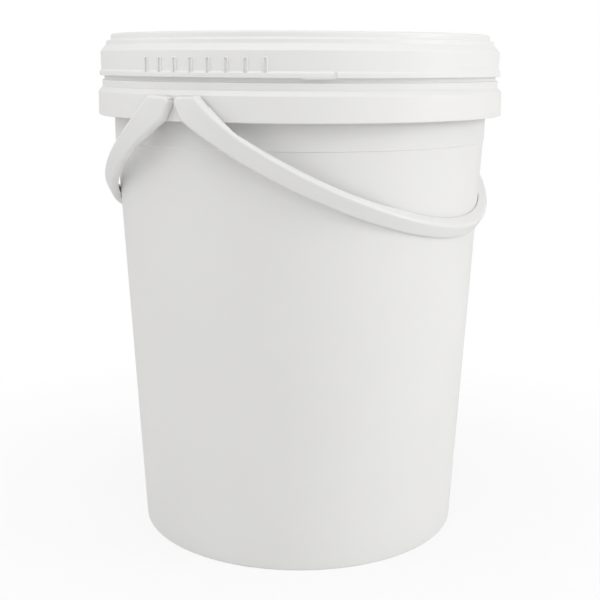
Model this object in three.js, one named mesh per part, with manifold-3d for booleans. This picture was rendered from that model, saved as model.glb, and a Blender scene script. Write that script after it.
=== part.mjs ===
// A 20 litre white plastic bucket with a press-on lid and two strap handles.
// Millimetres, +Z up. The origin is the middle of the foot ring, on the ground.
// The handles turn on pegs at -Y and +Y. One hangs on the +X side, one on the -X side.
// Angles round the bucket are measured from -Y towards +X.

import * as THREE from 'three';
import { mergeVertices } from 'three/addons/utils/BufferGeometryUtils.js';
import Module from 'manifold-3d';

const wasm = await Module();
wasm.setup();

// Driving dimensions of the bucket wall and floor
const footRadius = 128.4;        // outer wall at the ground
const draftDegrees = 3;          // lean of the wall, wider upwards
const wall = 2;
const floorThickness = 2.4;
const footHeight = 5;            // gap under the floor
const footWidth = 5;
const footChamfer = 1.2;
const floorFillet = 5;

// The thicker band under the collar
const bandBottom = 312.4;
const bandHeight = 19.6;         // up to the collar's lower edge
const bandProud = 0.8;
const bandTaper = 1;             // height of the small slope up to the band

// The neck and rim that the lid grips
const neckStandOff = 7;          // outside the band
const neckHeight = 21.8;         // from the collar's top to the rim
const shoulderRise = 3.5;        // the wall steps out to the neck this far above the collar's lower edge
const rimRound = 0.6;

// The collar ring, an apron that stands off the wall and is open below
const collarStandOff = 5;        // outside the neck
const collarHeight = 21.2;
const collarDraft = 0.4;         // the apron is narrower by this at the top
const collarWall = 2.5;
const collarBevelHeight = 3.5;
const collarBevelDepth = 3.2;
const collarRibs = 20;
const collarRibThickness = 1.8;
const ribSetback = 1.5;          // ribs stop this far above the apron's lower edge

// The gasket in the lid's channel
const gasketThickness = 2.3;
const gasketGap = 0.3;

// The lid
const lidFit = 0.4;              // play between lid and neck
const skirtWall = 1.9;
const skirtDepth = 16.6;         // below the channel's ceiling
const beadHeight = 4.5;
const beadProud = 1.2;
const lidShoulderRise = 1.4;     // above the channel's ceiling
const lidSlopeHeight = 4.6;
const lidSlopeDepth = 4.2;
const lidLipHeight = 3.3;        // the upright lip above the slope
const lidLipBevel = 1;
const stackRimHeight = 4.8;      // above the lip
const stackRimInset = 3.9;       // inside the lip
const stackRimWidth = 8.3;
const stackRimRound = 1.5;
const lidWall = 2.2;
const plugWall = 2;
const plugDepth = 11.9;          // below the channel's ceiling

// The lid's slits and its tear strip
const slitCount = 8;
const slitFirstAngle = -11;
const slitSpacing = 4.94;        // degrees
const slitWidth = 1.8;
const slitDepth = 0.9;           // the slits don't go through
const slitHeight = 8;
const slitRise = 4.9;            // above the skirt's lower edge
const slitLip = 1;
const slitLipProud = 0.8;
const tearNotchAngle = 40.6;
const tearNotchWidth = 2.4;
const tearTabAngle = 8.2;        // degrees of arc
const tearTabHeight = 2;
const tearTabThickness = 1.6;

// The handles
const pivotRise = 8.5;           // above the collar's lower edge
const pivotSpacing = 28;         // between the two pegs on one side
const earStandOff = 6.9;         // outer face at the pegs, outside the collar
const gripInset = 3.4;           // the arch's reach is shorter than its half span by this
const archTension = 0.48;        // roundness of the arch's curves
const restStandOff = 5.6;        // outer face at the grip, outside the wall, at rest
const strapWidth = 12.4;
const strapDepth = 10.5;
const strapWall = 2.2;
const strapRound = 2.4;
const rootRise = 4.8;            // the strap is wider at the pegs by this above
const rootRiseLength = 50;
const rootDrop = 3.6;            // and by this below, tapering all the way to the grip
const rootLobe = [[0.8, -9.8], [0.8, 11], [-12.4, 1.2], [-13, -3.2]];  // outline behind the peg
const pegRadius = 3.6;
const pegFit = 0.4;
const pegHeadRadius = 5;
const pegHeadThickness = 2.4;
const runningGap = 0.5;          // handle to collar, lid and wall

// Fineness of the round shapes
const turnSegments = 64;
const archSteps = 44;
const cornerSegments = 3;
const pegSegments = 24;
const envelopeSteps = 48;

// The wall is a cone that starts at the foot
const draft = THREE.MathUtils.degToRad(draftDegrees);

function wallRadiusAt(height) {
  return footRadius + height * Math.tan(draft);
}

// Heights that follow from the sizes above
const collarBottom = bandBottom + bandHeight;
const collarTop = collarBottom + collarHeight;
const collarUnderside = collarTop - collarBevelHeight;
const shoulderBottom = collarBottom + shoulderRise;
const rimHeight = collarTop + neckHeight;
const channelCeiling = rimHeight + gasketThickness + 2 * gasketGap;
const skirtBottom = channelCeiling - skirtDepth;
const plugBottom = channelCeiling - plugDepth;
const lidPanelHeight = channelCeiling + lidWall;
const lidShoulderHeight = channelCeiling + lidShoulderRise;
const lidSlopeTop = lidShoulderHeight + lidSlopeHeight;
const lidLipTop = lidSlopeTop + lidLipHeight;
const lidTop = lidLipTop + stackRimHeight;
const slitBottom = skirtBottom + slitRise;
const slitTop = slitBottom + slitHeight;
const pivotHeight = collarBottom + pivotRise;

// Radii that follow from the sizes above
const bandRadius = wallRadiusAt(bandBottom) + bandProud;
const neckRadius = bandRadius + neckStandOff;
const rimInner = neckRadius - wall;
const collarRadius = neckRadius + collarStandOff;
const collarInner = collarRadius - collarWall;
const skirtInner = neckRadius + lidFit;
const skirtRadius = skirtInner + skirtWall;
const beadRadius = skirtRadius + beadProud;
const slitLipRadius = skirtRadius + slitLipProud;
const plugRadius = rimInner - lidFit;
const lidSlopeTopRadius = skirtRadius - lidSlopeDepth;
const stackRimRadius = lidSlopeTopRadius - stackRimInset;
const stackRimInner = stackRimRadius - stackRimWidth;

// The handles' arch and the angle below level at which its grip lies against the wall
const pegOffset = pivotSpacing / 2;
const archHalfSpan = collarRadius + earStandOff;
const archReach = archHalfSpan - gripInset;
const restReach = wallRadiusAt(pivotHeight) + restStandOff - pegOffset;
const restAngle = draft + Math.acos(restReach * Math.cos(draft) / archReach);

// Turning geometry into solids and back
function toSolid(geometry) {
  const bare = geometry.clone();
  bare.deleteAttribute('normal');
  bare.deleteAttribute('uv');
  const merged = mergeVertices(bare, 1e-4);
  const corners = Array.from(merged.index.array);
  const kept = [];
  for (let i = 0; i < corners.length; i += 3) {
    const [a, b, c] = corners.slice(i, i + 3);
    if (a !== b && b !== c && c !== a) kept.push(a, b, c);
  }
  return new wasm.Manifold(new wasm.Mesh({
    numProp: 3,
    vertProperties: new Float32Array(merged.attributes.position.array),
    triVerts: new Uint32Array(kept),
  }));
}

function toMesh(name, solid, material) {
  const result = solid.getMesh();
  const geometry = new THREE.BufferGeometry();
  geometry.setAttribute('position', new THREE.Float32BufferAttribute(result.vertProperties, 3));
  geometry.setIndex(Array.from(result.triVerts));
  const flat = geometry.toNonIndexed();
  flat.computeVertexNormals();
  const mesh = new THREE.Mesh(flat, material);
  mesh.name = name;
  return mesh;
}

// A profile of [radius, height] pairs, turned about +Z
function turned(profile) {
  const points = profile.map(([radius, height]) => new THREE.Vector2(radius, height));
  return new THREE.LatheGeometry(points, turnSegments).rotateX(Math.PI / 2);
}

// Points of a quarter round, from one angle to another, in degrees
function arc(centreRadius, centreHeight, radius, from, to, count = cornerSegments) {
  const points = [];
  for (let i = 0; i <= count; i += 1) {
    const angle = THREE.MathUtils.degToRad(from + (to - from) * i / count);
    points.push([centreRadius + radius * Math.cos(angle), centreHeight + radius * Math.sin(angle)]);
  }
  return points;
}

// Puts a shape that was made at -Y round the bucket by an angle
function placedAt(geometry, degrees) {
  return geometry.rotateZ(THREE.MathUtils.degToRad(degrees));
}

// The bucket, moulded in one piece with its collar
function bucketProfile() {
  const floorTop = footHeight + floorThickness;
  const footInner = footRadius - footWidth;
  const innerAtFloor = wallRadiusAt(floorTop + floorFillet) - wall;
  return [
    [0, footHeight],
    [footInner - footChamfer, footHeight],
    [footInner, 0],
    [footRadius - footChamfer, 0],
    [wallRadiusAt(footChamfer), footChamfer],
    [wallRadiusAt(bandBottom), bandBottom],
    [bandRadius, bandBottom + bandTaper],
    [bandRadius, shoulderBottom],
    [neckRadius, collarUnderside],
    [collarInner - collarDraft, collarUnderside],
    [collarInner, collarBottom],
    [collarRadius, collarBottom],
    [collarRadius - collarDraft, collarUnderside],
    [collarRadius - collarDraft - collarBevelDepth, collarTop],
    [neckRadius, collarTop],
    ...arc(neckRadius - rimRound, rimHeight - rimRound, rimRound, 0, 90),
    ...arc(rimInner + rimRound, rimHeight - rimRound, rimRound, 90, 180),
    [rimInner, collarUnderside],
    [bandRadius - wall, shoulderBottom],
    [innerAtFloor, floorTop + floorFillet],
    ...arc(innerAtFloor - floorFillet, floorTop + floorFillet, floorFillet, 0, -90).slice(1),
    [0, floorTop],
  ];
}

// Upright ribs that tie the collar's apron to the wall
function collarRib() {
  const inWall = wall / 2;
  const shape = new THREE.Shape([
    new THREE.Vector2(bandRadius - inWall, collarBottom + ribSetback),
    new THREE.Vector2(collarInner + inWall, collarBottom + ribSetback),
    new THREE.Vector2(collarInner - collarDraft + inWall, collarUnderside + inWall),
    new THREE.Vector2(neckRadius - inWall, collarUnderside + inWall),
    new THREE.Vector2(bandRadius - inWall, shoulderBottom + inWall),
  ]);
  const rib = new THREE.ExtrudeGeometry(shape, { depth: collarRibThickness, bevelEnabled: false });
  rib.translate(0, 0, -collarRibThickness / 2);
  return rib.rotateX(Math.PI / 2).rotateZ(-Math.PI / 2);
}

// A cylinder along Y between two distances on the -Y side
function pegCylinder(radius, near, far) {
  const cylinder = new THREE.CylinderGeometry(radius, radius, far - near, pegSegments);
  return cylinder.translate(0, -(near + far) / 2, 0);
}

function makeBucket(material) {
  let solid = toSolid(turned(bucketProfile()));
  const ribStep = 360 / collarRibs;
  for (let i = 0; i < collarRibs; i += 1) {
    solid = solid.add(toSolid(placedAt(collarRib(), (i + 0.5) * ribStep)));
  }
  for (const side of [0, 180]) {
    for (const offset of [-pegOffset, pegOffset]) {
      const hole = pegCylinder(pegRadius + pegFit, pegHeadReach(), collarRadius + pegHeadThickness);
      hole.translate(offset, 0, pivotHeight);
      solid = solid.subtract(toSolid(placedAt(hole, side)));
    }
  }
  return toMesh('bucket', solid, material);
}

// The press-on lid: skirt with bottom bead, sloped shoulder, stacking rim, panel and plug wall
function lidProfile() {
  const groove = stackRimInner + lidWall;
  return [
    [0, lidPanelHeight - lidWall],
    [groove, lidPanelHeight - lidWall],
    [groove, lidTop - lidWall],
    [stackRimRadius - lidWall, lidTop - lidWall],
    [stackRimRadius - lidWall, lidSlopeTop],
    [plugRadius - plugWall, channelCeiling],
    [plugRadius - plugWall, plugBottom],
    [plugRadius, plugBottom],
    [plugRadius, channelCeiling],
    [skirtInner, channelCeiling],
    [skirtInner, skirtBottom],
    [beadRadius, skirtBottom],
    [beadRadius, skirtBottom + beadHeight - beadProud],
    [skirtRadius, skirtBottom + beadHeight],
    [skirtRadius, lidShoulderHeight],
    [lidSlopeTopRadius, lidSlopeTop],
    [lidSlopeTopRadius, lidLipTop - lidLipBevel],
    [lidSlopeTopRadius - lidLipBevel, lidLipTop],
    [stackRimRadius, lidLipTop],
    ...arc(stackRimRadius - stackRimRound, lidTop - stackRimRound, stackRimRound, 0, 90),
    ...arc(stackRimInner + stackRimRound, lidTop - stackRimRound, stackRimRound, 90, 180),
    [stackRimInner, lidPanelHeight],
    [0, lidPanelHeight],
  ];
}

// An upright slot outline with a half-round top
function slotShape(halfWidth, bottom, top) {
  const shape = new THREE.Shape();
  shape.moveTo(-halfWidth, bottom);
  shape.lineTo(halfWidth, bottom);
  shape.lineTo(halfWidth, top - halfWidth);
  shape.absarc(0, top - halfWidth, halfWidth, 0, Math.PI, false);
  shape.closePath();
  return shape;
}

// A slot outline made solid between two distances on the -Y side
function slotBlock(halfWidth, bottom, top, near, far) {
  const block = new THREE.ExtrudeGeometry(slotShape(halfWidth, bottom, top), {
    depth: far - near,
    bevelEnabled: false,
    curveSegments: 2 * cornerSegments,
  });
  return block.rotateX(Math.PI / 2).translate(0, -near, 0);
}

// The loose end of the tear strip, a thin tongue that hangs from the bead
function tearTab() {
  const start = THREE.MathUtils.degToRad(-90 + tearNotchAngle - tearTabAngle);
  const end = THREE.MathUtils.degToRad(-90 + tearNotchAngle);
  const overlap = 0.5;
  const shape = new THREE.Shape();
  shape.absarc(0, 0, beadRadius - overlap, start, end, false);
  shape.absarc(0, 0, beadRadius - overlap - tearTabThickness, end, start, true);
  shape.closePath();
  const tab = new THREE.ExtrudeGeometry(shape, {
    depth: tearTabHeight + overlap,
    bevelEnabled: false,
    curveSegments: cornerSegments,
  });
  return tab.translate(0, 0, skirtBottom - tearTabHeight);
}

function makeLid(material) {
  let solid = toSolid(turned(lidProfile()));
  const halfSlit = slitWidth / 2;
  const inSkirt = skirtRadius - skirtWall / 2;
  for (let i = 0; i < slitCount; i += 1) {
    const angle = slitFirstAngle + i * slitSpacing;
    const lip = slotBlock(halfSlit + slitLip, slitBottom - slitLip, slitTop + slitLip, inSkirt, slitLipRadius);
    solid = solid.add(toSolid(placedAt(lip, angle)));
  }
  for (let i = 0; i < slitCount; i += 1) {
    const angle = slitFirstAngle + i * slitSpacing;
    const slit = slotBlock(halfSlit, slitBottom, slitTop, skirtRadius - slitDepth, slitLipRadius + 1);
    solid = solid.subtract(toSolid(placedAt(slit, angle)));
  }
  const notch = new THREE.BoxGeometry(tearNotchWidth, 2 * beadProud, 2 * beadHeight);
  notch.translate(0, -skirtRadius - beadProud, skirtBottom);
  solid = solid.subtract(toSolid(placedAt(notch, tearNotchAngle)));
  solid = solid.add(toSolid(tearTab()));
  return toMesh('lid', solid, material);
}

// The gasket lies in the channel, between the rim and the lid
function makeGasket(material) {
  const inner = plugRadius + gasketGap;
  const outer = skirtInner - gasketGap;
  const bottom = rimHeight + gasketGap;
  const top = channelCeiling - gasketGap;
  const solid = toSolid(turned([
    [inner, bottom],
    [outer, bottom],
    [outer, top],
    [inner, top],
    [inner, bottom],
  ]));
  return toMesh('lid_gasket', solid, material);
}

// The handle's arch, level, with its grip at +X and its ends at -Y and +Y
function archPath() {
  const path = new THREE.CurvePath();
  const pull = archReach * archTension;
  const spread = archHalfSpan * archTension;
  path.add(new THREE.CubicBezierCurve3(
    new THREE.Vector3(0, -archHalfSpan, 0),
    new THREE.Vector3(pull, -archHalfSpan, 0),
    new THREE.Vector3(archReach, -spread, 0),
    new THREE.Vector3(archReach, 0, 0),
  ));
  path.add(new THREE.CubicBezierCurve3(
    new THREE.Vector3(archReach, 0, 0),
    new THREE.Vector3(archReach, spread, 0),
    new THREE.Vector3(pull, archHalfSpan, 0),
    new THREE.Vector3(0, archHalfSpan, 0),
  ));
  return path;
}

// Strap section: x across the width, y inwards from the outer face
function strapSection() {
  const half = strapWidth / 2;
  const shape = new THREE.Shape();
  shape.moveTo(-half, strapDepth);
  shape.lineTo(-half, strapRound);
  shape.absarc(-half + strapRound, strapRound, strapRound, Math.PI, 1.5 * Math.PI, false);
  shape.lineTo(half - strapRound, 0);
  shape.absarc(half - strapRound, strapRound, strapRound, -0.5 * Math.PI, 0, false);
  shape.lineTo(half, strapDepth);
  shape.closePath();
  return shape;
}

// The hollow on the strap's inner side
function channelSection() {
  const half = strapWidth / 2 - strapWall;
  const shape = new THREE.Shape();
  shape.moveTo(-half, strapWall);
  shape.lineTo(half, strapWall);
  shape.lineTo(half, strapDepth + strapWall);
  shape.lineTo(-half, strapDepth + strapWall);
  shape.closePath();
  return shape;
}

// A section swept along the arch, its edges moved apart towards the pegs
function sweptAlongArch(shape) {
  const geometry = new THREE.ExtrudeGeometry(shape, {
    steps: archSteps,
    bevelEnabled: false,
    curveSegments: cornerSegments,
    extrudePath: archPath(),
  });
  const position = geometry.attributes.position;
  for (let i = 0; i < position.count; i += 1) {
    const fromPegs = position.getX(i);
    const height = position.getZ(i);
    if (height > 1) {
      const share = Math.max(0, 1 - fromPegs / rootRiseLength);
      position.setZ(i, height + rootRise * share * share);
    } else if (height < -1) {
      position.setZ(i, height - rootDrop * Math.max(0, 1 - fromPegs / archReach));
    }
  }
  return geometry;
}

// The lobe that closes a strap behind its peg, on the -Y side
function rootLobeBlock() {
  const shape = new THREE.Shape(rootLobe.map(([along, up]) => new THREE.Vector2(along, up)));
  const lobe = new THREE.ExtrudeGeometry(shape, { depth: strapDepth, bevelEnabled: false });
  return lobe.rotateX(Math.PI / 2).translate(0, strapDepth - archHalfSpan, 0);
}

// Space that collar, lid and slit lips need as a handle swings up past them.
// Each is a circle round the bucket, at a height above the peg axis.
function swingEnvelope() {
  const circles = [
    [collarRadius, collarBottom],
    [collarRadius, collarUnderside],
    [collarRadius - collarDraft - collarBevelDepth, collarTop],
    [beadRadius, skirtBottom],
    [beadRadius, skirtBottom + beadHeight],
    [slitLipRadius, slitTop + slitLip],
    [skirtRadius, lidShoulderHeight],
    [lidSlopeTopRadius, lidLipTop],
    [stackRimRadius, lidTop],
  ];
  const rootReach = Math.max(...rootLobe.map(([along, up]) => Math.hypot(along, up)));
  const reachAt = (along) => {
    let reach = rootReach;
    for (const [radius, height] of circles) {
      if (radius <= along) continue;
      const across = Math.max(0, Math.sqrt(radius * radius - along * along) - pegOffset);
      reach = Math.max(reach, Math.hypot(across, height - pivotHeight));
    }
    return reach + runningGap;
  };
  const end = collarRadius + pegFit;
  const profile = [[0, -end]];
  for (let i = -envelopeSteps; i <= envelopeSteps; i += 1) {
    // Steps are close together near the pegs, where the space changes fastest
    const along = end * Math.sin(0.5 * Math.PI * i / envelopeSteps);
    profile.push([reachAt(Math.abs(along) - runningGap), along]);
  }
  profile.push([0, end]);
  const points = profile.map(([reach, along]) => new THREE.Vector2(reach, along));
  return new THREE.LatheGeometry(points, turnSegments);
}

// The bucket's wall with the running gap round it, where a hanging handle comes to rest
function wallEnvelope() {
  return turned([
    [0, 0],
    [footRadius + runningGap, 0],
    [wallRadiusAt(bandBottom) + runningGap, bandBottom],
    [bandRadius + runningGap, bandBottom + bandTaper],
    [bandRadius + runningGap, shoulderBottom],
    [0, shoulderBottom],
  ]);
}

// Distance from the bucket's middle to the far end of a peg's head
function pegHeadReach() {
  const headEdge = pegOffset + pegHeadRadius;
  const apron = collarInner - collarDraft;
  const headFace = Math.sqrt(apron * apron - headEdge * headEdge) - pegFit;
  return headFace - pegHeadThickness;
}

// One handle with its two pegs, hanging on the +X side
function handleSolid() {
  let solid = toSolid(sweptAlongArch(strapSection()));
  solid = solid.subtract(toSolid(sweptAlongArch(channelSection())));
  solid = solid.add(toSolid(rootLobeBlock()));
  solid = solid.add(toSolid(rootLobeBlock()).mirror([0, 1, 0]));
  solid = solid.subtract(toSolid(swingEnvelope()));
  for (const side of [0, 180]) {
    const headEnd = pegHeadReach();
    const shaft = pegCylinder(pegRadius, headEnd, collarRadius + 2 * pegFit);
    const head = pegCylinder(pegHeadRadius, headEnd, headEnd + pegHeadThickness);
    solid = solid.add(toSolid(placedAt(shaft, side)));
    solid = solid.add(toSolid(placedAt(head, side)));
  }
  const restDegrees = THREE.MathUtils.radToDeg(restAngle);
  solid = solid.rotate([0, restDegrees, 0]).translate([pegOffset, 0, pivotHeight]);
  return solid.subtract(toSolid(wallEnvelope()));
}

function makeHandle(name, turn, material) {
  const mesh = toMesh(name, handleSolid(), material);
  mesh.geometry.rotateZ(THREE.MathUtils.degToRad(turn));
  return mesh;
}

// Materials
const whiteBucketPlastic = new THREE.MeshStandardMaterial({ color: 0xe9e9e7, roughness: 0.42, metalness: 0 });
const whiteLidPlastic = new THREE.MeshStandardMaterial({ color: 0xebebea, roughness: 0.45, metalness: 0 });
const whiteHandlePlastic = new THREE.MeshStandardMaterial({ color: 0xe8e8e8, roughness: 0.4, metalness: 0 });
const paleGasketRubber = new THREE.MeshStandardMaterial({ color: 0xd9d8d2, roughness: 0.8, metalness: 0 });

const group = new THREE.Group();
group.add(makeBucket(whiteBucketPlastic));
group.add(makeLid(whiteLidPlastic));
group.add(makeGasket(paleGasketRubber));
group.add(makeHandle('right_handle', 0, whiteHandlePlastic));
group.add(makeHandle('left_handle', 180, whiteHandlePlastic));

export default group;
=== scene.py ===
"""A white plastic pail with its lid pressed on and its two strap handles hanging, in a pale studio.

Everything is in metres in the CAD frame: +Z up, the pegs of the handles at -Y and +Y.
Sizes of the object are written in millimetres and turned into metres where a mesh is made.
"""

import math

import bmesh
import bpy
import numpy as np
from mathutils import Matrix


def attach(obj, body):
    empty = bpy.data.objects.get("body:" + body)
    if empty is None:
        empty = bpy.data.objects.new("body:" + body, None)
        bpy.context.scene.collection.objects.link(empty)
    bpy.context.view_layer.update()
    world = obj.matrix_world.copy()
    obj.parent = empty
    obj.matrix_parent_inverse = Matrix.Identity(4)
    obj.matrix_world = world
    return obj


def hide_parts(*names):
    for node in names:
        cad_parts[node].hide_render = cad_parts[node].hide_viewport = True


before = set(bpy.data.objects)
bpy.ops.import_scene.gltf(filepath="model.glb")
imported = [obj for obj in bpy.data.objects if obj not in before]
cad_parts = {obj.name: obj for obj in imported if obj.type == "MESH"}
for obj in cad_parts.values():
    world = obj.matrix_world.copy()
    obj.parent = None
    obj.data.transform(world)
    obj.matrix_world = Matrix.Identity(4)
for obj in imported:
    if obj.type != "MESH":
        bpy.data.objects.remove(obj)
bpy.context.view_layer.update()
scene = bpy.context.scene


# Camera
#
# It stands 32 degrees round from the front pegs towards the right handle, a little below the
# lid's top and looking down, where the photograph was taken from.

camera_azimuth = math.radians(32)
camera_distance = 0.8752
camera_height = 0.37252
camera_aside = 0.0007
camera_pitch = 0.2175
camera_roll = 0.0045
photo_width_pixels = 600
focal_length_pixels = 1082.4
sensor_width = 36

away = np.array([math.sin(camera_azimuth), -math.cos(camera_azimuth), 0])
rightward = np.array([math.cos(camera_azimuth), math.sin(camera_azimuth), 0])
camera_place = away * camera_distance + rightward * camera_aside + np.array([0, 0, camera_height])

camera_data = bpy.data.cameras.new("camera")
camera_data.sensor_width = sensor_width
camera_data.lens = focal_length_pixels / photo_width_pixels * sensor_width
camera_data.clip_start = 0.01
camera = bpy.data.objects.new("camera", camera_data)
camera.matrix_world = (
    Matrix.Translation(camera_place)
    @ Matrix.Rotation(camera_azimuth, 4, "Z")
    @ Matrix.Rotation(math.pi / 2 - camera_pitch, 4, "X")
    @ Matrix.Rotation(camera_roll, 4, "Z")
)
scene.collection.objects.link(camera)
scene.camera = camera
scene.view_settings.view_transform = "Standard"


# Studio
#
# A white floor under the pail, a white surround, and five soft lamps at a low level.
# The camera sees floor and surround as nearly white, and the floor keeps a soft shadow.

def linear(hex_colour):
    """An sRGB hex colour as linear RGBA."""
    parts = [int(hex_colour[i:i + 2], 16) / 255 for i in (1, 3, 5)]
    return [c / 12.92 if c <= 0.04045 else ((c + 0.055) / 1.055) ** 2.4 for c in parts] + [1.0]


def add_node(tree, kind, inputs=None, **settings):
    """Adds a node, sets its settings, and links or sets its inputs."""
    node = tree.nodes.new(kind)
    for name, value in settings.items():
        setattr(node, name, value)
    for name, value in (inputs or {}).items():
        if isinstance(value, bpy.types.NodeSocket):
            tree.links.new(value, node.inputs[name])
        else:
            node.inputs[name].default_value = value
    return node


def empty_tree(owner):
    """The owner's node tree, with no nodes left in it."""
    owner.use_nodes = True
    owner.node_tree.nodes.clear()
    return owner.node_tree


world = bpy.data.worlds.new("white_surround")
scene.world = world
tree = empty_tree(world)
path = add_node(tree, "ShaderNodeLightPath")
seen = add_node(tree, "ShaderNodeBackground", {"Color": linear("#ffffff"), "Strength": 1.0})
# The surround is a little darker in front of the pail, where the camera stands in the studio
dark_side = tuple(away - 0.25 * rightward)
direction = add_node(tree, "ShaderNodeTexCoord").outputs["Generated"]
facing = add_node(tree, "ShaderNodeVectorMath", {0: direction, 1: dark_side},
                  operation="DOT_PRODUCT")
brightness = add_node(tree, "ShaderNodeMapRange",
                      {"Value": facing.outputs["Value"], "From Min": 0.1, "From Max": 1.0,
                       "To Min": 0.75, "To Max": 0.5})
lighting = add_node(tree, "ShaderNodeBackground",
                    {"Color": linear("#fefdfd"), "Strength": brightness.outputs["Result"]})
either = add_node(tree, "ShaderNodeMixShader", {
    "Fac": path.outputs["Is Camera Ray"], 1: lighting.outputs[0], 2: seen.outputs[0]})
add_node(tree, "ShaderNodeOutputWorld", {"Surface": either.outputs[0]})

floor_radius = 4.0
floor_mesh = bpy.data.meshes.new("floor")
shape = bmesh.new()
bmesh.ops.create_circle(shape, cap_ends=True, radius=floor_radius, segments=96)
shape.to_mesh(floor_mesh)
shape.free()
floor = bpy.data.objects.new("floor", floor_mesh)
scene.collection.objects.link(floor)

paper = bpy.data.materials.new("white_backdrop_paper")
tree = empty_tree(paper)
path = add_node(tree, "ShaderNodeLightPath")
matt = add_node(tree, "ShaderNodeBsdfDiffuse", {"Color": linear("#ececec")})
white = add_node(tree, "ShaderNodeEmission", {"Color": linear("#ffffff"), "Strength": 1.0})
place = add_node(tree, "ShaderNodeTexCoord").outputs["Object"]
# The floor is shown whiter with its distance from the pail's foot, so that only a shadow is left
far = add_node(tree, "ShaderNodeVectorMath", {0: place}, operation="LENGTH")
whiteness = add_node(tree, "ShaderNodeMapRange",
                     {"Value": far.outputs["Value"], "From Min": 0.16, "From Max": 0.5,
                      "To Min": 0.8, "To Max": 1.0})
share = add_node(tree, "ShaderNodeMath",
                 {0: path.outputs["Is Camera Ray"], 1: whiteness.outputs["Result"]},
                 operation="MULTIPLY")
mixed = add_node(tree, "ShaderNodeMixShader", {
    "Fac": share.outputs[0], 1: matt.outputs[0], 2: white.outputs[0]})
add_node(tree, "ShaderNodeOutputMaterial", {"Surface": mixed.outputs[0]})
floor.data.materials.append(paper)


lamp_target_height = 0.2


def soft_lamp(name, azimuth, elevation, distance, size, watts):
    """A square area lamp that faces the pail. Azimuth is measured from the camera, in degrees."""
    lamp_data = bpy.data.lights.new(name, "AREA")
    lamp_data.shape = "SQUARE"
    lamp_data.size = size
    lamp_data.energy = watts
    lamp = bpy.data.objects.new(name, lamp_data)
    turn = camera_azimuth + math.radians(azimuth)
    lift = math.radians(elevation)
    lamp.matrix_world = (
        Matrix.Translation((0, 0, lamp_target_height))
        @ Matrix.Rotation(turn, 4, "Z")
        @ Matrix.Rotation(math.pi / 2 - lift, 4, "X")
        @ Matrix.Translation((0, 0, distance))
    )
    scene.collection.objects.link(lamp)


# Azimuth and elevation in degrees, distance and width in metres, then watts
soft_lamp("key_right", 75, 20, 1.6, 0.6, 5.6)
soft_lamp("low_right", 35, 12, 2.0, 0.6, 2.6)
soft_lamp("fill_left", -85, 20, 1.6, 1.2, 2.5)
soft_lamp("high_left", -45, 50, 0.95, 0.6, 1.3)
soft_lamp("high_front", 5, 50, 0.95, 0.6, 0.8)


# Bucket
#
# The pail is injection moulded in white HDPE, in one piece with the collar ring round its top.
# The collar is an apron that stands off the wall, open below, with ribs hidden behind it.

foot_radius = 128.4
foot_width = 5.0
lean_angle = math.radians(3)
lean = math.tan(lean_angle)
wall = 2.0
floor_underside = 5.0
floor_top = 7.4
band_bottom = 312.4
band_step = 0.8
band_radius = foot_radius + band_bottom * lean + band_step
shoulder_bottom = 335.5
neck_radius = band_radius + 7
rim_inner = neck_radius - wall
rim_height = 375.0
collar_radius = neck_radius + 5
collar_inner = collar_radius - 2.5
collar_draft = 0.4
collar_bottom = 332.0
collar_top = 353.2
collar_underside = 349.7
collar_slope = 3.2
collar_top_radius = collar_radius - collar_draft - collar_slope
neck_ring_radius = neck_radius + 1.6
neck_ring_top = 358.2
pivot_height = 340.5
peg_offset = 14.0
peg_hole_radius = 4.0


def wall_radius(height):
    """Outer radius of the leaning wall at a height."""
    return foot_radius + height * lean


def rounded(corners, steps=5, margin=0.35):
    """A profile of points, with each corner (across, up, rounding) made an arc.

    A point just before and just after each arc keeps the smooth shading of the arc off the
    flat faces beside it."""
    points = [np.array(corners[0][:2], float)]
    for before, corner, after in zip(corners, corners[1:], corners[2:]):
        here = np.array(corner[:2], float)
        back = np.array(before[:2], float) - here
        ahead = np.array(after[:2], float) - here
        back_length = np.linalg.norm(back)
        ahead_length = np.linalg.norm(ahead)
        back /= back_length
        ahead /= ahead_length
        half = 0.5 * math.acos(max(-1, min(1, float(back @ ahead))))
        if corner[2] <= 0 or half > math.radians(89.5):
            points.append(here)
            continue
        room = 0.45 * min(back_length, ahead_length)
        reach = min(corner[2] / math.tan(half), room)
        radius = reach * math.tan(half)
        centre = here + (back + ahead) / np.linalg.norm(back + ahead) * radius / math.sin(half)
        start = here + back * reach - centre
        end = here + ahead * reach - centre
        sweep = math.atan2(start[0] * end[1] - start[1] * end[0], float(start @ end))
        points.append(here + back * min(reach + margin, 0.49 * back_length))
        for i in range(steps + 1):
            turn = sweep * i / steps
            cosine, sine = math.cos(turn), math.sin(turn)
            points.append(centre + np.array([start[0] * cosine - start[1] * sine,
                                             start[0] * sine + start[1] * cosine]))
        points.append(here + ahead * min(reach + margin, 0.49 * ahead_length))
    points.append(np.array(corners[-1][:2], float))
    return points


def new_piece(name, vertices, faces, material):
    """A smooth shaded object made of millimetre vertices, its normals pointing outwards."""
    mesh = bpy.data.meshes.new(name)
    mesh.from_pydata((np.asarray(vertices, float) * 0.001).tolist(), [], faces)
    shape = bmesh.new()
    shape.from_mesh(mesh)
    bmesh.ops.remove_doubles(shape, verts=shape.verts, dist=1e-6)
    bmesh.ops.recalc_face_normals(shape, faces=shape.faces)
    shape.to_mesh(mesh)
    shape.free()
    mesh.shade_smooth()
    piece = bpy.data.objects.new(name, mesh)
    piece.data.materials.append(material)
    scene.collection.objects.link(piece)
    return piece


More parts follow.
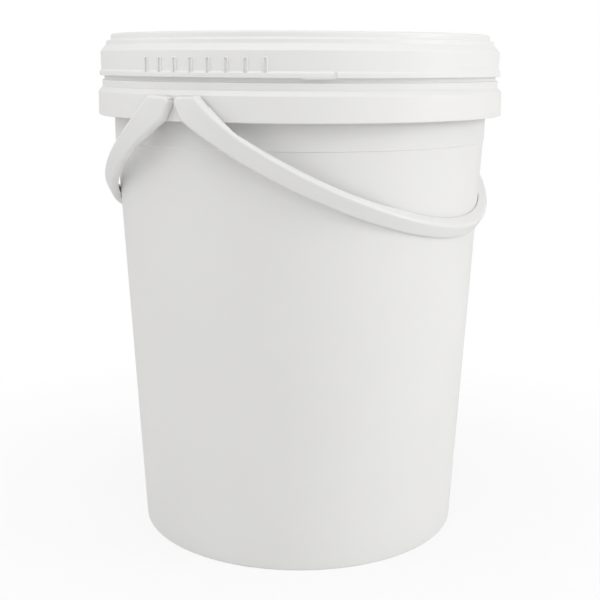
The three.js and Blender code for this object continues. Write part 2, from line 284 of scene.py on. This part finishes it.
def turned(profile, segments):
    """Vertices and faces of a profile of (radius, height) points, turned about the pail's axis.

    A profile that starts and ends on the axis is closed there by fans."""
    angles = np.arange(segments) * 2 * math.pi / segments
    vertices = []
    rings = []
    for radius, height in profile:
        if radius < 1e-6:
            rings.append([len(vertices)] * segments)
            vertices.append((0, 0, height))
            continue
        rings.append(list(range(len(vertices), len(vertices) + segments)))
        vertices.extend(zip(radius * np.sin(angles), -radius * np.cos(angles),
                            np.full(segments, height)))
    faces = []
    for lower, upper in zip(rings, rings[1:]):
        for i in range(segments):
            j = (i + 1) % segments
            corners = [lower[i], lower[j], upper[j], upper[i]]
            faces.append(list(dict.fromkeys(corners)))
    return vertices, faces


def cylinder_along_y(radius, near, far, offset, height, turn, segments=48, rounding=0.0):
    """Vertices and faces of a cylinder on the -Y side, from near to far, then turned round Z."""
    profile = [(0, near), (radius, near), (radius, far), (0, far)]
    profile = [(r, along, rounding) for r, along in profile]
    vertices, faces = turned(rounded(profile), segments)
    cosine, sine = math.cos(turn), math.sin(turn)
    placed = []
    for x, z, along in vertices:
        x, y = x + offset, -along
        placed.append((x * cosine - y * sine, x * sine + y * cosine, z + height))
    return placed, faces


def cut(piece, cutters, operation="DIFFERENCE"):
    """Cuts solids out of a piece, or joins them to it, and marks the hard edges of the result."""
    for cutter in cutters:
        step = piece.modifiers.new("cut", "BOOLEAN")
        step.operation = operation
        step.solver = "EXACT"
        step.object = cutter
    evaluated = piece.evaluated_get(bpy.context.evaluated_depsgraph_get())
    mesh = bpy.data.meshes.new_from_object(evaluated)
    piece.modifiers.clear()
    piece.data = mesh
    mesh.set_sharp_from_angle(angle=math.radians(35))
    for cutter in cutters:
        bpy.data.objects.remove(cutter)


def moulded_plastic(name, colour, deep_colour, roughness, wave_mm, wave_height_mm, grain_mm,
                    grain_height_mm, translucency):
    """White moulded plastic: faint cloudy tone, slight shrink waves, and a fine eroded grain.

    A mould's grain is about 0.3 mm. It is drawn four to five times as coarse, so that it shows."""
    material = bpy.data.materials.new(name)
    tree = empty_tree(material)
    place = add_node(tree, "ShaderNodeTexCoord").outputs["Object"]
    cloud_mm = 70
    cloud = add_node(tree, "ShaderNodeTexNoise",
                     {"Vector": place, "Scale": 1000 / cloud_mm, "Detail": 3.0, "Roughness": 0.45})
    tone = add_node(tree, "ShaderNodeMix",
                    {"Factor": cloud.outputs["Fac"], 6: linear(deep_colour), 7: linear(colour)},
                    data_type="RGBA")
    dull = add_node(tree, "ShaderNodeMapRange",
                    {"Value": cloud.outputs["Fac"], "From Min": 0.3, "From Max": 0.7,
                     "To Min": roughness - 0.03, "To Max": roughness + 0.03})
    wave = add_node(tree, "ShaderNodeTexNoise",
                    {"Vector": place, "Scale": 1000 / wave_mm, "Detail": 1.0})
    grain = add_node(tree, "ShaderNodeTexNoise",
                     {"Vector": place, "Scale": 1000 / grain_mm, "Detail": 2.0})
    waved = add_node(tree, "ShaderNodeBump",
                     {"Height": wave.outputs["Fac"], "Distance": wave_height_mm * 0.001})
    grained = add_node(tree, "ShaderNodeBump",
                       {"Height": grain.outputs["Fac"], "Distance": grain_height_mm * 0.001,
                        "Normal": waved.outputs["Normal"]})
    plastic = add_node(tree, "ShaderNodeBsdfPrincipled", {
        "Base Color": tone.outputs[2], "Roughness": dull.outputs["Result"], "IOR": 1.54,
        "Subsurface Weight": translucency, "Subsurface Radius": (1.0, 0.95, 0.9),
        "Subsurface Scale": 0.002, "Normal": grained.outputs["Normal"]})
    add_node(tree, "ShaderNodeOutputMaterial", {"Surface": plastic.outputs[0]})
    return material


# White HDPE takes the satin of its mould: an even, soft, slightly waxy white.
bucket_hdpe = moulded_plastic("white_hdpe_pail", "#ececea", "#e8e8e6", roughness=0.42,
                              wave_mm=60, wave_height_mm=0.12, grain_mm=1.6,
                              grain_height_mm=0.008, translucency=0.12)

gate_mark_height = floor_underside - 0.6
# Each corner is its radius, its height and its rounding, from the underside round to the inside
bucket_corners = [
    (0, gate_mark_height, 0),
    (2.2, gate_mark_height, 0.5),
    (3.0, floor_underside, 0.4),
    (foot_radius - foot_width - 1.2, floor_underside, 0.8),
    (foot_radius - foot_width, 0, 0.7),
    (foot_radius, 0, 1.3),
    (wall_radius(band_bottom), band_bottom, 0.2),
    (band_radius, band_bottom + 0.4, 0.3),
    (band_radius, shoulder_bottom, 3),
    (neck_radius, collar_underside, 1),
    (collar_inner - collar_draft, collar_underside, 0.9),
    (collar_inner, collar_bottom, 0.7),
    (collar_radius, collar_bottom, 0.8),
    (collar_radius - collar_draft, collar_underside, 1.0),
    (collar_top_radius, collar_top, 1.0),
    (neck_ring_radius, collar_top, 0.8),
    (neck_ring_radius, neck_ring_top, 0.7),
    (neck_radius, neck_ring_top, 0.4),
    (neck_radius, rim_height, 0.9),
    (rim_inner, rim_height, 0.9),
    (rim_inner, collar_underside, 3),
    (band_radius - wall, shoulder_bottom, 3),
    (wall_radius(floor_top) - wall, floor_top, 5),
    (0, floor_top, 0),
]
bucket_segments = 320
bucket_shell = new_piece("bucket_shell", *turned(rounded(bucket_corners), bucket_segments),
                         bucket_hdpe)

hole_near = 148
hole_far = 160
peg_hole_solids = []
for side in (0, math.pi):
    for offset in (-peg_offset, peg_offset):
        hole = cylinder_along_y(peg_hole_radius, hole_near, hole_far, offset, pivot_height, side)
        peg_hole_solids.append(new_piece("peg_hole", *hole, bucket_hdpe))
cut(bucket_shell, peg_hole_solids)


def ring_tree():
    """Geometry Nodes that repeat the piece's own mesh round the pail's axis at even steps."""
    tree = bpy.data.node_groups.new("repeat_round_the_axis", "GeometryNodeTree")
    for name, kind in (("Geometry", "NodeSocketGeometry"), ("Count", "NodeSocketInt"),
                       ("First Angle", "NodeSocketFloat"), ("Step Angle", "NodeSocketFloat"),
                       ("Material", "NodeSocketMaterial")):
        tree.interface.new_socket(name, in_out="INPUT", socket_type=kind)
    tree.interface.new_socket("Geometry", in_out="OUTPUT", socket_type="NodeSocketGeometry")
    given = add_node(tree, "NodeGroupInput")
    number = add_node(tree, "GeometryNodeInputIndex")
    angle = add_node(tree, "ShaderNodeMath",
                     {0: number.outputs[0], 1: given.outputs["Step Angle"],
                      2: given.outputs["First Angle"]}, operation="MULTIPLY_ADD")
    turn = add_node(tree, "ShaderNodeCombineXYZ", {"Z": angle.outputs[0]})
    points = add_node(tree, "GeometryNodePoints", {"Count": given.outputs["Count"]})
    copies = add_node(tree, "GeometryNodeInstanceOnPoints",
                      {"Points": points.outputs[0], "Instance": given.outputs["Geometry"],
                       "Rotation": turn.outputs[0]})
    real = add_node(tree, "GeometryNodeRealizeInstances", {"Geometry": copies.outputs[0]})
    painted = add_node(tree, "GeometryNodeSetMaterial",
                       {"Geometry": real.outputs[0], "Material": given.outputs["Material"]})
    add_node(tree, "NodeGroupOutput", {"Geometry": painted.outputs[0]})
    return tree


round_the_axis = ring_tree()


def repeated(piece, count, first_degrees, step_degrees, material):
    """The piece repeated round the axis by Geometry Nodes, and made a plain mesh again."""
    step = piece.modifiers.new("repeat", "NODES")
    step.node_group = round_the_axis
    values = {"Count": count, "First Angle": math.radians(first_degrees),
              "Step Angle": math.radians(step_degrees), "Material": material}
    for item in round_the_axis.interface.items_tree:
        if item.in_out == "INPUT" and item.name in values:
            step[item.identifier] = values[item.name]
    evaluated = piece.evaluated_get(bpy.context.evaluated_depsgraph_get())
    mesh = bpy.data.meshes.new_from_object(evaluated)
    piece.modifiers.clear()
    piece.data = mesh


def swept_faces(stations, count):
    """Faces of a closed section of so many points, swept over stations, with both ends capped."""
    faces = []
    for start in range(0, (stations - 1) * count, count):
        for j in range(count):
            k = (j + 1) % count
            faces.append([start + j, start + k, start + count + k, start + count + j])
    faces.append(list(range(count)))
    faces.append([(stations - 1) * count + j for j in range(count)])
    return faces


rib_count = 20
rib_thickness = 1.8
rib_overlap = 0.6
rib_bottom = collar_bottom + 1.5
rib_outline = [
    (band_radius - rib_overlap, rib_bottom),
    (collar_inner + rib_overlap, rib_bottom),
    (collar_inner - collar_draft + rib_overlap, collar_underside + rib_overlap),
    (neck_radius - rib_overlap, collar_underside + rib_overlap),
    (band_radius - rib_overlap, shoulder_bottom + rib_overlap),
]
rib_points = [(across, -radius, height) for across in (-rib_thickness / 2, rib_thickness / 2)
              for radius, height in rib_outline]
collar_ribs = new_piece("collar_ribs", rib_points, swept_faces(2, len(rib_outline)), bucket_hdpe)
repeated(collar_ribs, rib_count, 180 / rib_count, 360 / rib_count, bucket_hdpe)
collar_ribs.data.set_sharp_from_angle(angle=math.radians(35))

for piece in (bucket_shell, collar_ribs):
    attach(piece, "bucket")
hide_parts("bucket")


# Lid
#
# The lid is moulded in the same white HDPE and presses over the rim. Its skirt ends in a bead,
# with a short row of slits above it and the tongue of the tear strip hanging below it.

skirt_inner = neck_radius + 0.4
skirt_radius = skirt_inner + 1.9
skirt_bottom = 361.3
bead_radius = skirt_radius + 1.2
bead_height = 4.5
channel_ceiling = 377.9
plug_radius = rim_inner - 0.4
panel_height = 380.1
lid_wall = 2.2
lid_top = 392.0
plug_bottom = 366.0
plug_wall = 2.0
slope_bottom = 379.3
slope_top = 383.9
ledge_radius = skirt_radius - 4.2
ledge_top = 387.2
stack_rim_radius = skirt_radius - 8.1
stack_rim_inner = stack_rim_radius - 8.3
panel_ring_outer = 104.0
panel_ring_inner = 101.4
panel_ring_top = panel_height + 0.4
gate_dimple_radius = 4.2
gate_dimple_height = panel_height - 0.5

# The lid's HDPE comes from a duller mould, so its white is a shade more even than the pail's.
lid_hdpe = moulded_plastic("white_hdpe_lid", "#ededec", "#e9e9e8", roughness=0.44,
                           wave_mm=45, wave_height_mm=0.10, grain_mm=1.4,
                           grain_height_mm=0.008, translucency=0.12)

# Each corner is its radius, its height and its rounding, from the underside round to the top
lid_corners = [
    (0, channel_ceiling, 0),
    (stack_rim_inner + lid_wall, channel_ceiling, 1.2),
    (stack_rim_inner + lid_wall, lid_top - lid_wall, 1.0),
    (stack_rim_radius - lid_wall, lid_top - lid_wall, 1.0),
    (stack_rim_radius - lid_wall, 384.2, 1.0),
    (plug_radius - plug_wall, channel_ceiling, 0.6),
    (plug_radius - plug_wall, plug_bottom, 0.6),
    (plug_radius, plug_bottom, 0.9),
    (plug_radius, channel_ceiling, 0.3),
    (skirt_inner, channel_ceiling, 0.3),
    (skirt_inner, skirt_bottom, 0.5),
    (bead_radius, skirt_bottom, 0.7),
    (bead_radius, skirt_bottom + bead_height - 1.2, 0.7),
    (skirt_radius, skirt_bottom + bead_height, 0.6),
    (skirt_radius, slope_bottom, 0.9),
    (ledge_radius, slope_top, 0.5),
    (ledge_radius - 0.2, ledge_top, 1.1),
    (stack_rim_radius + 0.3, ledge_top + 0.2, 0.8),
    (stack_rim_radius, lid_top, 1.6),
    (stack_rim_inner, lid_top, 1.6),
    (stack_rim_inner, panel_height, 1.6),
    (panel_ring_outer, panel_height, 0.6),
    (panel_ring_outer - 0.6, panel_ring_top, 0.6),
    (panel_ring_inner + 0.6, panel_ring_top, 0.6),
    (panel_ring_inner, panel_height, 0.6),
    (gate_dimple_radius, panel_height, 0.6),
    (gate_dimple_radius - 0.8, gate_dimple_height, 0.5),
    (1.6, gate_dimple_height, 0.3),
    (1.3, panel_height, 0.3),
    (0, panel_height, 0),
]
lid_segments = 320
lid_shell = new_piece("lid_shell", *turned(rounded(lid_corners), lid_segments), lid_hdpe)

slit_count = 8
slit_first = -11.0
slit_spacing = 4.94
slit_width = 1.8
slit_bottom = 364.6
slit_top = 374.2
slit_depth = 0.15
slit_lip_width = 1.0
slit_lip_proud = 0.8
cutter_reach = 3


def arch_outline(half_width, bottom, top, steps=12):
    """Points (across, up) of an upright slot with a half-round top."""
    points = [(-half_width, bottom), (half_width, bottom)]
    for i in range(steps + 1):
        turn = math.pi * i / steps
        points.append((half_width * math.cos(turn), top - half_width + half_width * math.sin(turn)))
    return points


def slot_solid(outline, near, far):
    """Vertices and faces of an outline (across, up), made solid on the -Y side."""
    vertices = [(across, -radius, up) for radius in (near, far) for across, up in outline]
    return vertices, swept_faces(2, len(outline))


slit = slot_solid(arch_outline(slit_width / 2, slit_bottom, slit_top),
                  skirt_radius - slit_depth, skirt_radius + cutter_reach)
slit_cutters = new_piece("slit_cutters", *slit, lid_hdpe)
repeated(slit_cutters, slit_count, slit_first, slit_spacing, lid_hdpe)

# The notch in the bead, where the tear strip's tongue begins
notch_angle = 40.6
notch_half = 1.2
notch_bottom = skirt_bottom - 4
notch_top = skirt_bottom + 6
notch = slot_solid([(-notch_half, notch_bottom), (notch_half, notch_bottom),
                    (notch_half, notch_top), (-notch_half, notch_top)],
                   skirt_radius, skirt_radius + cutter_reach)
notch_cutter = new_piece("notch_cutter", *notch, lid_hdpe)
notch_cutter.data.transform(Matrix.Rotation(math.radians(notch_angle), 4, "Z"))
cut(lid_shell, [slit_cutters, notch_cutter])


def slit_lip_mesh():
    """A rounded lip that frames one slit: a half-round bead swept along its arch."""
    half = slit_width / 2 + slit_lip_width / 2
    centre = slit_top - slit_width / 2
    foot = slit_bottom - slit_lip_width / 2
    upright = np.linspace(0, centre - slit_bottom, 8)
    bend = np.linspace(0, math.pi, 17)[1:-1]
    path = [(-half, foot + z) for z in upright]
    path += [(-half * math.cos(t), centre + half * math.sin(t)) for t in bend]
    path += [(half, foot + z) for z in upright[::-1]]
    path = np.array(path)
    ahead = np.roll(path, -1, 0) - np.roll(path, 1, 0)
    ahead[0] = path[1] - path[0]
    ahead[-1] = path[-1] - path[-2]
    ahead /= np.linalg.norm(ahead, axis=1)[:, None]
    section = [(-0.55, -0.3), (-0.5, 0.35), (-0.35, 0.65), (-0.13, slit_lip_proud),
               (0.13, slit_lip_proud), (0.35, 0.65), (0.5, 0.35), (0.55, -0.3)]
    vertices = []
    for (x, z), (tx, tz) in zip(path, ahead):
        for across, out in section:
            vertices.append((x - tz * across, -(skirt_radius + out), z + tx * across))
    return vertices, swept_faces(len(path), len(section))


slit_lips = new_piece("slit_lips", *slit_lip_mesh(), lid_hdpe)
repeated(slit_lips, slit_count, slit_first, slit_spacing, lid_hdpe)

tab_degrees = 8.2
tab_steps = 14
tab_inner = bead_radius - 2.1
tab_outer = bead_radius - 0.3
tab_top = skirt_bottom + 0.5
tab_bottom = skirt_bottom - 0.7
tab_section = rounded([
    (tab_inner, tab_top, 0),
    (tab_inner, tab_bottom, 0.3),
    (tab_outer, tab_bottom, 0.5),
    (tab_outer, tab_top, 0),
])
vertices = []
for i in range(tab_steps + 1):
    turn = math.radians(notch_angle - tab_degrees + tab_degrees * i / tab_steps)
    for radius, height in tab_section:
        vertices.append((radius * math.sin(turn), -radius * math.cos(turn), height))
tear_tab = new_piece("tear_tab", vertices, swept_faces(tab_steps + 1, len(tab_section)), lid_hdpe)
tear_tab.data.set_sharp_from_angle(angle=math.radians(50))

for piece in (lid_shell, slit_lips, tear_tab):
    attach(piece, "lid")
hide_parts("lid")


# Gasket
#
# A soft pale ring of foamed rubber lies in the lid's channel and seals on the bucket's rim.
# It is squeezed flat on top and bottom and stays round at its edges.

# Foamed rubber is dull and pale, and its pores of about 0.9 mm dent the skin; each dent is painted
# darker towards its middle as painted shade.
gasket_rubber = bpy.data.materials.new("foamed_gasket_rubber")
pore_mm = 0.9
tree = empty_tree(gasket_rubber)
place = add_node(tree, "ShaderNodeTexCoord").outputs["Object"]
pores = add_node(tree, "ShaderNodeTexVoronoi", {"Vector": place, "Scale": 1000 / pore_mm})
# Painted shade: the colour runs darker towards the middle of each pore's dent
tone = add_node(tree, "ShaderNodeMix",
                {"Factor": pores.outputs["Distance"], 6: linear("#cfccc0"), 7: linear("#dedbd0")},
                data_type="RGBA")
dented = add_node(tree, "ShaderNodeBump",
                  {"Height": pores.outputs["Distance"], "Distance": 0.0001})
rubber = add_node(tree, "ShaderNodeBsdfPrincipled",
                  {"Base Color": tone.outputs[2], "Roughness": 0.8, "IOR": 1.5,
                   "Normal": dented.outputs["Normal"]})
add_node(tree, "ShaderNodeOutputMaterial", {"Surface": rubber.outputs[0]})

gasket_gap = 0.3
gasket_round = 0.8
gasket_in = plug_radius + gasket_gap
gasket_out = skirt_inner - gasket_gap
gasket_low = rim_height + gasket_gap
gasket_high = channel_ceiling - gasket_gap
gasket_middle = (gasket_low + gasket_high) / 2
gasket_section = rounded([
    (gasket_in, gasket_middle, 0),
    (gasket_in, gasket_low, gasket_round),
    (gasket_out, gasket_low, gasket_round),
    (gasket_out, gasket_high, gasket_round),
    (gasket_in, gasket_high, gasket_round),
    (gasket_in, gasket_middle, 0),
])
gasket_ring = new_piece("gasket_ring", *turned(gasket_section, 256), gasket_rubber)
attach(gasket_ring, "lid")
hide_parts("lid_gasket")


# Handles
#
# Two arched straps moulded in polypropylene, each a hollow channel open on its inner side.
# Their wide ends lie flat on the collar, and pegs behind them snap into its apron.

strap_half = 6.2
strap_depth = 10.5
strap_wall = 2.2
strap_round = 2.4
root_rise = 4.8
root_rise_length = 50.0
root_drop = 3.6
root_length = 12.8
root_end_top = 1.2
root_end_bottom = -3.3
end_corner = 1.6
root_reach = 13.4
arch_half_span = collar_radius + 6.9
arch_reach = arch_half_span - 3.4
arch_tension = 0.48
running_gap = 0.5
rest_standoff = 5.6
rest_reach = wall_radius(pivot_height) + rest_standoff - peg_offset
rest_angle = lean_angle + math.acos(rest_reach * math.cos(lean_angle) / arch_reach)
root_inner = collar_radius + 0.4

# PP takes a slightly glossier skin than HDPE, so the straps' round edges catch soft highlights.
handle_pp = moulded_plastic("white_pp_handle", "#ebebea", "#e7e7e6", roughness=0.38,
                            wave_mm=30, wave_height_mm=0.05, grain_mm=1.2,
                            grain_height_mm=0.006, translucency=0.12)

# Circles round the pail that a strap swings past, as (radius, height above the peg axis)
swing_circles = [(radius, height - pivot_height) for radius, height in (
    (collar_radius, collar_bottom),
    (collar_radius, collar_underside),
    (collar_top_radius, collar_top),
    (bead_radius, skirt_bottom),
    (bead_radius, skirt_bottom + bead_height),
    (skirt_radius + slit_lip_proud, slit_top + slit_lip_width),
    (skirt_radius, slope_bottom),
    (ledge_radius, ledge_top),
    (stack_rim_radius, lid_top),
)]


def swing_reach(along):
    """How far from the peg axis a strap must stay, at a distance along that axis."""
    outside = np.abs(along) >= root_inner
    along = np.maximum(np.abs(along) - running_gap, 0)
    reach = np.full_like(along, root_reach)
    for radius, height in swing_circles:
        across = np.sqrt(np.maximum(radius ** 2 - along ** 2, 0)) - peg_offset
        needed = np.hypot(np.maximum(across, 0), height)
        reach = np.maximum(reach, np.where(along < radius, needed, 0))
    return np.where(outside, 0, reach + running_gap)


def arch_point(t):
    """Place and direction on the arch's outer face, t from 0 at the front peg to 2 at the back.

    Below 0 and above 2 it runs straight on, past the pegs, in millimetres."""
    span, pull, reach = arch_half_span, arch_reach * arch_tension, arch_reach
    spread = arch_half_span * arch_tension
    if t < 0:
        return np.array((t, -span)), np.array((1.0, 0.0))
    if t > 2:
        return np.array((2 - t, span)), np.array((-1.0, 0.0))
    if t <= 1:
        points = [(0, -span), (pull, -span), (reach, -spread), (reach, 0)]
    else:
        points = [(reach, 0), (reach, spread), (pull, span), (0, span)]
        t -= 1
    a, b, c, d = (np.array(p, float) for p in points)
    place = (1 - t) ** 3 * a + 3 * (1 - t) ** 2 * t * b + 3 * (1 - t) * t ** 2 * c + t ** 3 * d
    slope = 3 * (1 - t) ** 2 * (b - a) + 6 * (1 - t) * t * (c - b) + 3 * t ** 2 * (d - c)
    return place, slope / np.linalg.norm(slope)


def strap_edges(along):
    """Height of a strap's upper and lower edge over the peg axis, by distance from the pegs."""
    rise = root_rise * np.clip(1 - np.maximum(along, 0) / root_rise_length, 0, 1) ** 2
    drop = root_drop * np.clip(1 - np.maximum(along, 0) / arch_reach, 0, 1)
    behind = np.clip(-along / root_length, 0, 1)
    upper = strap_half + rise + behind * (root_end_top - strap_half - root_rise)
    lower = -strap_half - drop + behind * (root_end_bottom + strap_half + root_drop)
    # The end's two corners are round
    nearness = np.clip((along + root_length) / strap_round, 0, 1)
    pulled_in = end_corner * (1 - np.sqrt(1 - (1 - nearness) ** 2))
    return upper - pulled_in, lower + pulled_in


def inward_room(places, inward, across, depths):
    """How deep the strap may go inwards from each point of its outer face, in millimetres.

    It stays clear of the circles that it swings past, and of the wall that it rests on."""
    x = places[:, 0][:, None, None] + inward[:, 0][:, None, None] * depths
    y = places[:, 1][:, None, None] + inward[:, 1][:, None, None] * depths
    x, y, z = np.broadcast_arrays(x, y, across[:, :, None])
    swing_room = np.hypot(x, z) - swing_reach(y)
    world_x = x * math.cos(rest_angle) + z * math.sin(rest_angle) + peg_offset
    world_z = -x * math.sin(rest_angle) + z * math.cos(rest_angle) + pivot_height
    wall_here = wall_radius(world_z) + np.clip(world_z - band_bottom, 0, 1) * band_step
    wall_room = np.hypot(world_x, y) - wall_here - running_gap
    room = np.minimum(swing_room, np.where(world_z < shoulder_bottom, wall_room, swing_room))
    # The depth at which the room runs out, between two samples
    first = np.maximum((room < 0).argmax(2), 1)[:, :, None]
    before = np.maximum(np.take_along_axis(room, first - 1, 2), 0)[:, :, 0]
    after = np.take_along_axis(room, first, 2)[:, :, 0]
    share = before / np.maximum(before - after, 1e-6)
    limit = depths[first[:, :, 0] - 1] + np.minimum(share, 1) * depths[1]
    limit[(room >= 0).all(2)] = strap_depth
    return limit


def strap_mesh():
    """The strap as a swept channel, its inner side trimmed to the room that it has."""
    half = strap_half
    inner = half - strap_wall
    section = rounded([
        (0, 0, 0),
        (half, 0.1, strap_round),
        (half, strap_depth, 0.5),
        (inner, strap_depth, 0.5),
        (inner, strap_wall, 0.8),
        (-inner, strap_wall, 0.8),
        (-inner, strap_depth, 0.5),
        (-half, strap_depth, 0.5),
        (-half, 0.1, strap_round),
        (0, 0, 0),
    ])
    section = np.array(section[:-1])
    ending = -root_length * (1 - np.linspace(0, 1, 24, endpoint=False) ** 1.6)
    stations = np.concatenate([ending, np.linspace(0, 2, 241), 2 - ending[::-1]])
    places, slopes = (np.array(x) for x in zip(*(arch_point(t) for t in stations)))
    inward = np.stack([-slopes[:, 1], slopes[:, 0]], 1)
    # A section point keeps its distance from the edge it is next to, wherever that edge runs
    upper, lower = (edge[:, None] for edge in strap_edges(places[:, 0]))
    middle = (upper + lower) / 2
    across = section[:, 0][None, :]
    above = np.maximum(across + upper - half, middle + 0.2)
    below = np.minimum(across + lower + half, middle - 0.2)
    across = np.where(across > 1, above, np.where(across < -1, below, middle))
    limit = inward_room(places, inward, across, np.linspace(0, strap_depth, 96))
    depth = np.minimum(section[:, 1][None, :], limit)
    # The outer face rolls over at the strap's two ends
    nearness = np.clip((places[:, 0] + root_length) / strap_round, 0, 1)
    rolled = strap_round * (1 - np.sqrt(1 - (1 - nearness) ** 2))
    depth = np.maximum(depth, rolled[:, None])
    vertices = np.stack([
        places[:, 0][:, None] + inward[:, 0][:, None] * depth,
        places[:, 1][:, None] + inward[:, 1][:, None] * depth,
        across,
    ], 2).reshape(-1, 3)
    return vertices, swept_faces(len(stations), len(section))


peg_radius = 3.6
peg_head_radius = 5.0
peg_head_thickness = 2.4
peg_segments = 40
peg_head_gap = 0.4
peg_overlap = 0.6
head_edge = peg_offset + peg_head_radius
apron = collar_inner - collar_draft
peg_head_end = math.sqrt(apron ** 2 - head_edge ** 2) - peg_head_gap - peg_head_thickness

for name, body, turn in (("right_strap", "right_handle", 0),
                         ("left_strap", "left_handle", math.pi)):
    strap = new_piece(name, *strap_mesh(), handle_pp)
    extras = []
    for side in (0, math.pi):
        shaft = cylinder_along_y(peg_radius, peg_head_end + peg_overlap,
                                 arch_half_span - strap_wall / 2,
                                 0, 0, side, peg_segments, rounding=0.3)
        extras.append(new_piece("peg_shaft", *shaft, handle_pp))
        head = cylinder_along_y(peg_head_radius, peg_head_end, peg_head_end + peg_head_thickness,
                                0, 0, side, peg_segments, rounding=0.6)
        extras.append(new_piece("peg_head", *head, handle_pp))
    cut(strap, extras, "UNION")
    strap.data.transform(
        Matrix.Rotation(turn, 4, "Z")
        @ Matrix.Translation((peg_offset * 0.001, 0, pivot_height * 0.001))
        @ Matrix.Rotation(rest_angle, 4, "Y")
    )
    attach(strap, body)
    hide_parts(body)
